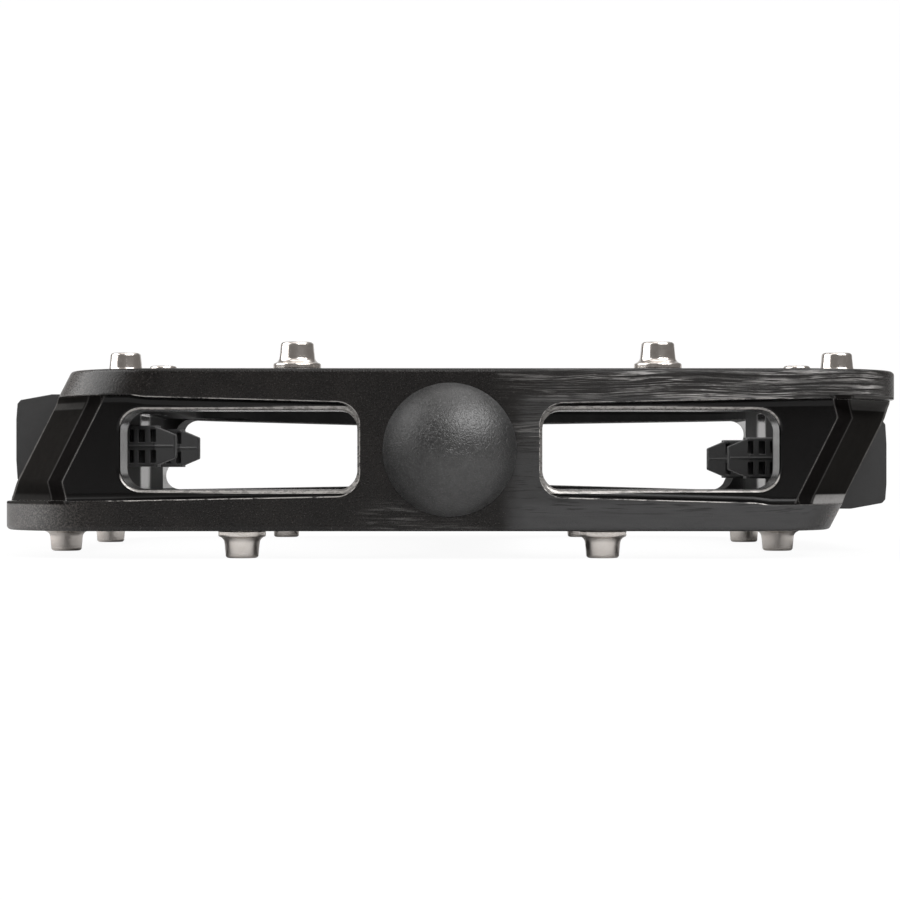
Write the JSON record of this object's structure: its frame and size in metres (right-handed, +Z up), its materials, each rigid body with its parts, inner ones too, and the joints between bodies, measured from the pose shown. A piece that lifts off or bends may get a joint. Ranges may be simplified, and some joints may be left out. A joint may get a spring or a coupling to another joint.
{
  "type": "flat bicycle pedal",
  "caption": "Flat bicycle pedal: open slant-sided alloy platform with screw-in traction pins and clip-in reflectors, free to spin on a spindle that screws into a crank arm.",
  "frame": {"origin": "on the spindle axis, in the plane of the collar shoulder that seats on the crank arm", "axes": "+Y along the spindle towards the crank arm (outboard end at -Y), +Z up through the upper tread face, +X fore and aft towards the front reflector"},
  "size_m": [0.1074, 0.122, 0.0246],
  "materials": {
    "platform_alloy": "black anodised over a fine machined and bead-blasted surface, semi-gloss, worn slightly brighter on the edges",
    "pin_steel": "bright nickel-plated steel, satin flanks",
    "cap_plastic": "fine grained matte black",
    "reflector_housing": "moulded matte dark grey",
    "reflector_lens": "amber prismatic reflector lens",
    "seal_rubber": "nitrile rubber",
    "bush_polymer": "self-lubricating bearing polymer",
    "spacer_alloy": "turned",
    "spring_steel": "phosphated spring steel",
    "spindle_steel": "turned and ground chromium-molybdenum steel",
    "zinc_steel": "zinc plated",
    "bearing_steel": "ground bearing steel",
    "ball_steel": "polished balls",
    "cage_polymer": "glass filled nylon"
  },
  "bodies": {
    "spindle": {"spindle": "spindle_steel", "outer_bearing_inner_race": "bearing_steel", "inner_bearing_inner_race": "bearing_steel", "bearing_inner_spacer": "spacer_alloy", "nut_washer": "zinc_steel", "lock_nut": "zinc_steel"},
    "platform": {"platform_body": "platform_alloy", "end_cap": "cap_plastic", "end_cap_o_ring": "seal_rubber", "outer_bearing_outer_race": "bearing_steel", "outer_bearing_seals": "seal_rubber", "inner_bearing_outer_race": "bearing_steel", "inner_bearing_seals": "seal_rubber", "bearing_outer_spacer": "spacer_alloy", "bearing_circlip": "spring_steel", "plain_bush": "bush_polymer", "dust_seal": "seal_rubber", "rear_reflector_housing": "reflector_housing", "rear_reflector_lens": "reflector_lens", "front_reflector_housing": "reflector_housing", "front_reflector_lens": "reflector_lens", "pins_upper_outboard": "pin_steel", "pins_upper_inboard": "pin_steel", "pins_upper_rear": "pin_steel", "pins_upper_front": "pin_steel", "pins_lower_outboard": "pin_steel", "pins_lower_inboard": "pin_steel", "pins_lower_rear": "pin_steel", "pins_lower_front": "pin_steel"},
    "outer_bearing_cage": {"outer_bearing_balls": "ball_steel", "outer_bearing_cage": "cage_polymer"},
    "inner_bearing_cage": {"inner_bearing_balls": "ball_steel", "inner_bearing_cage": "cage_polymer"}
  },
  "joints": [
    {"name": "platform_spin", "type": "hinge", "parent": "spindle", "child": "platform", "pos_m": [0, 0, 0], "axis": [0, 1, 0], "continuous": true},
    {"name": "outer_bearing_cage_spin", "type": "hinge", "parent": "spindle", "child": "outer_bearing_cage", "pos_m": [0, -0.0967, 0], "axis": [0, 1, 0], "continuous": true},
    {"name": "inner_bearing_cage_spin", "type": "hinge", "parent": "spindle", "child": "inner_bearing_cage", "pos_m": [0, -0.0887, 0], "axis": [0, 1, 0], "continuous": true}
  ],
  "couplings": [
    {"joint": "outer_bearing_cage_spin", "follows": "platform_spin", "ratio": 0.6105},
    {"joint": "inner_bearing_cage_spin", "follows": "platform_spin", "ratio": 0.6105}
  ]
}
